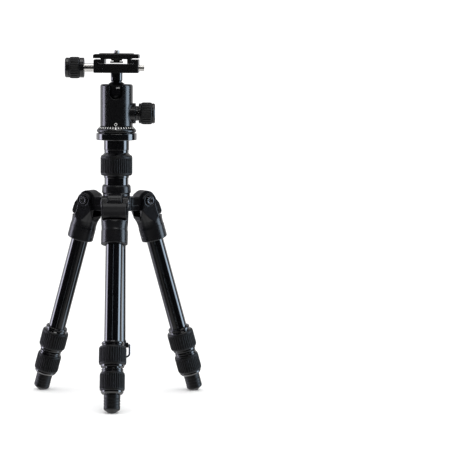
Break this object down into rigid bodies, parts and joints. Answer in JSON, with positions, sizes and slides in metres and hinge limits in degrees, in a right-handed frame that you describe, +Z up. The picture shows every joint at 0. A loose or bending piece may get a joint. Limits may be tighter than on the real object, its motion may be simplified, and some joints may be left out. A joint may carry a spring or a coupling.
{
  "type": "mini tripod with ball head",
  "caption": "Small three-legged stand with telescopic twist-lock legs, a sliding centre column and a ball head with a dovetail clamp and quick plate.",
  "frame": {"origin": "on the floor, under the axis of the centre column, midway between the three feet", "axes": "+Z up along the column; the front leg points to -Y, the clamp's knob to -X and the ball's locking knob to +X"},
  "size_m": [0.1866, 0.1653, 0.3764],
  "materials": {
    "anodised_black": "glossy black anodised, turned and extruded",
    "cast_black": "satin black powder coat on die castings",
    "rubber_black": "matte moulded grip, ribbed",
    "foot_rubber": "matte moulded foot",
    "black_plastic": "moulded, fine texture",
    "polished_steel": "polished",
    "dark_steel": "black oxide, worn bright on the edges",
    "brass": "turned",
    "white_acetal": "moulded"
  },
  "bodies": {
    "frame": {"spider": "cast_black", "column_sleeve": "anodised_black", "column_lock_bush": "white_acetal", "hinge_bolts": "dark_steel"},
    "column_collar": {"column_lock_collar": "anodised_black", "column_lock_grip": "rubber_black"},
    "column": {"column_tube": "anodised_black", "column_cap": "black_plastic", "column_plate": "anodised_black", "head_stud": "polished_steel", "pan_base": "anodised_black"},
    "hook": {"column_hook": "polished_steel"},
    "head": {"head_housing": "anodised_black", "ball_cup": "black_plastic"},
    "plunger": {"lock_plunger": "brass"},
    "lock_knob": {"lock_knob": "anodised_black", "lock_knob_grip": "rubber_black", "lock_screw": "polished_steel"},
    "ball": {"ball_stem": "anodised_black"},
    "clamp": {"clamp_base": "anodised_black", "clamp_pins": "polished_steel", "clamp_fixing_screw": "dark_steel"},
    "jaw": {"clamp_jaw": "anodised_black"},
    "clamp_knob": {"clamp_knob": "anodised_black", "clamp_knob_grip": "rubber_black", "clamp_screw": "polished_steel"},
    "plate": {"quick_plate": "anodised_black", "plate_pad": "rubber_black"},
    "camera_screw": {"camera_screw": "polished_steel", "screw_d_ring": "polished_steel"},
    "front_leg": {"front_knuckle": "cast_black", "front_upper_tube": "anodised_black"},
    "front_tab": {"front_angle_tab": "black_plastic"},
    "front_upper_collar": {"front_upper_collar": "anodised_black", "front_upper_grip": "rubber_black"},
    "front_middle": {"front_middle_tube": "anodised_black"},
    "front_lower_collar": {"front_lower_collar": "anodised_black", "front_lower_grip": "rubber_black"},
    "front_lower": {"front_lower_tube": "anodised_black", "front_foot": "foot_rubber"},
    "right_leg": {"right_knuckle": "cast_black", "right_upper_tube": "anodised_black"},
    "right_tab": {"right_angle_tab": "black_plastic"},
    "right_upper_collar": {"right_upper_collar": "anodised_black", "right_upper_grip": "rubber_black"},
    "right_middle": {"right_middle_tube": "anodised_black"},
    "right_lower_collar": {"right_lower_collar": "anodised_black", "right_lower_grip": "rubber_black"},
    "right_lower": {"right_lower_tube": "anodised_black", "right_foot": "foot_rubber"},
    "left_leg": {"left_knuckle": "cast_black", "left_upper_tube": "anodised_black"},
    "left_tab": {"left_angle_tab": "black_plastic"},
    "left_upper_collar": {"left_upper_collar": "anodised_black", "left_upper_grip": "rubber_black"},
    "left_middle": {"left_middle_tube": "anodised_black"},
    "left_lower_collar": {"left_lower_collar": "anodised_black", "left_lower_grip": "rubber_black"},
    "left_lower": {"left_lower_tube": "anodised_black", "left_foot": "foot_rubber"}
  },
  "joints": [
    {"name": "column_collar_twist", "type": "hinge", "parent": "frame", "child": "column_collar", "pos_m": [0, 0, 0.252], "axis": [0, 0, 1], "range_deg": [0, 120]},
    {"name": "column_rise", "type": "slide", "parent": "frame", "child": "column", "axis": [0, 0, 1], "range_m": [0, 0.14]},
    {"name": "hook_swing", "type": "hinge", "parent": "column", "child": "hook", "pos_m": [0, 0, 0.057], "axis": [1, 0, 0], "range_deg": [-80, 80]},
    {"name": "head_pan", "type": "hinge", "parent": "column", "child": "head", "pos_m": [0, 0, 0.2948], "axis": [0, 0, 1], "continuous": true},
    {"name": "plunger_slide", "type": "slide", "parent": "head", "child": "plunger", "axis": [1, 0, 0], "range_m": [0, 0.001]},
    {"name": "ball_lock_turn", "type": "hinge", "parent": "plunger", "child": "lock_knob", "pos_m": [0.03, 0, 0.3087], "axis": [1, 0, 0], "range_deg": [0, 360]},
    {"name": "ball_tilt", "type": "hinge", "parent": "head", "child": "ball", "pos_m": [0, 0, 0.3307], "axis": [1, 0, 0], "range_deg": [-20, 90]},
    {"name": "stem_spin", "type": "hinge", "parent": "ball", "child": "clamp", "pos_m": [0, 0, 0.352], "axis": [0, 0, 1], "continuous": true},
    {"name": "jaw_slide", "type": "slide", "parent": "clamp", "child": "jaw", "axis": [-1, 0, 0], "range_m": [0, 0.003]},
    {"name": "clamp_knob_turn", "type": "hinge", "parent": "jaw", "child": "clamp_knob", "pos_m": [-0.03, 0, 0.3574], "axis": [-1, 0, 0], "range_deg": [0, 1080]},
    {"name": "plate_slide", "type": "slide", "parent": "clamp", "child": "plate", "axis": [0, 1, 0], "range_m": [-0.02, 0.02]},
    {"name": "camera_screw_spin", "type": "hinge", "parent": "plate", "child": "camera_screw", "pos_m": [0, 0, 0.37], "axis": [0, 0, 1], "continuous": true},
    {"name": "front_leg_fold", "type": "hinge", "parent": "frame", "child": "front_leg", "pos_m": [0, -0.0338, 0.21435], "axis": [1, 0, 0], "range_deg": [0, 17]},
    {"name": "front_tab_pull", "type": "slide", "parent": "front_leg", "child": "front_tab", "axis": [0, -0.9563, 0.2924], "range_m": [0, 0.004], "stiffness_N_per_m": 500, "springref_m": -0.002},
    {"name": "front_upper_collar_twist", "type": "hinge", "parent": "front_leg", "child": "front_upper_collar", "pos_m": [0, -0.08058, 0.06134], "axis": [0, 0.2924, 0.9563], "range_deg": [0, 120]},
    {"name": "front_middle_extend", "type": "slide", "parent": "front_leg", "child": "front_middle", "axis": [0, -0.2924, -0.9563], "range_m": [0, 0.1]},
    {"name": "front_lower_collar_twist", "type": "hinge", "parent": "front_middle", "child": "front_lower_collar", "pos_m": [0, -0.08935, 0.03265], "axis": [0, 0.2924, 0.9563], "range_deg": [0, 120]},
    {"name": "front_lower_extend", "type": "slide", "parent": "front_middle", "child": "front_lower", "axis": [0, -0.2924, -0.9563], "range_m": [0, 0.1]},
    {"name": "right_leg_fold", "type": "hinge", "parent": "frame", "child": "right_leg", "pos_m": [0.02927, 0.0169, 0.21435], "axis": [-0.5, 0.866, 0], "range_deg": [0, 17]},
    {"name": "right_tab_pull", "type": "slide", "parent": "right_leg", "child": "right_tab", "axis": [0.8282, 0.4782, 0.2924], "range_m": [0, 0.004], "stiffness_N_per_m": 500, "springref_m": -0.002},
    {"name": "right_upper_collar_twist", "type": "hinge", "parent": "right_leg", "child": "right_upper_collar", "pos_m": [0.06978, 0.04029, 0.06134], "axis": [-0.2532, -0.1462, 0.9563], "range_deg": [0, 120]},
    {"name": "right_middle_extend", "type": "slide", "parent": "right_leg", "child": "right_middle", "axis": [0.2532, 0.1462, -0.9563], "range_m": [0, 0.1]},
    {"name": "right_lower_collar_twist", "type": "hinge", "parent": "right_middle", "child": "right_lower_collar", "pos_m": [0.07738, 0.04468, 0.03265], "axis": [-0.2532, -0.1462, 0.9563], "range_deg": [0, 120]},
    {"name": "right_lower_extend", "type": "slide", "parent": "right_middle", "child": "right_lower", "axis": [0.2532, 0.1462, -0.9563], "range_m": [0, 0.1]},
    {"name": "left_leg_fold", "type": "hinge", "parent": "frame", "child": "left_leg", "pos_m": [-0.02927, 0.0169, 0.21435], "axis": [-0.5, -0.866, 0], "range_deg": [0, 17]},
    {"name": "left_tab_pull", "type": "slide", "parent": "left_leg", "child": "left_tab", "axis": [-0.8282, 0.4782, 0.2924], "range_m": [0, 0.004], "stiffness_N_per_m": 500, "springref_m": -0.002},
    {"name": "left_upper_collar_twist", "type": "hinge", "parent": "left_leg", "child": "left_upper_collar", "pos_m": [-0.06978, 0.04029, 0.06134], "axis": [0.2532, -0.1462, 0.9563], "range_deg": [0, 120]},
    {"name": "left_middle_extend", "type": "slide", "parent": "left_leg", "child": "left_middle", "axis": [-0.2532, 0.1462, -0.9563], "range_m": [0, 0.1]},
    {"name": "left_lower_collar_twist", "type": "hinge", "parent": "left_middle", "child": "left_lower_collar", "pos_m": [-0.07738, 0.04468, 0.03265], "axis": [0.2532, -0.1462, 0.9563], "range_deg": [0, 120]},
    {"name": "left_lower_extend", "type": "slide", "parent": "left_middle", "child": "left_lower", "axis": [-0.2532, 0.1462, -0.9563], "range_m": [0, 0.1]}
  ],
  "couplings": [
    {"joint": "ball_lock_turn", "follows": "plunger_slide", "rad_per_m": 6283.2},
    {"joint": "clamp_knob_turn", "follows": "jaw_slide", "rad_per_m": 6283.2}
  ]
}
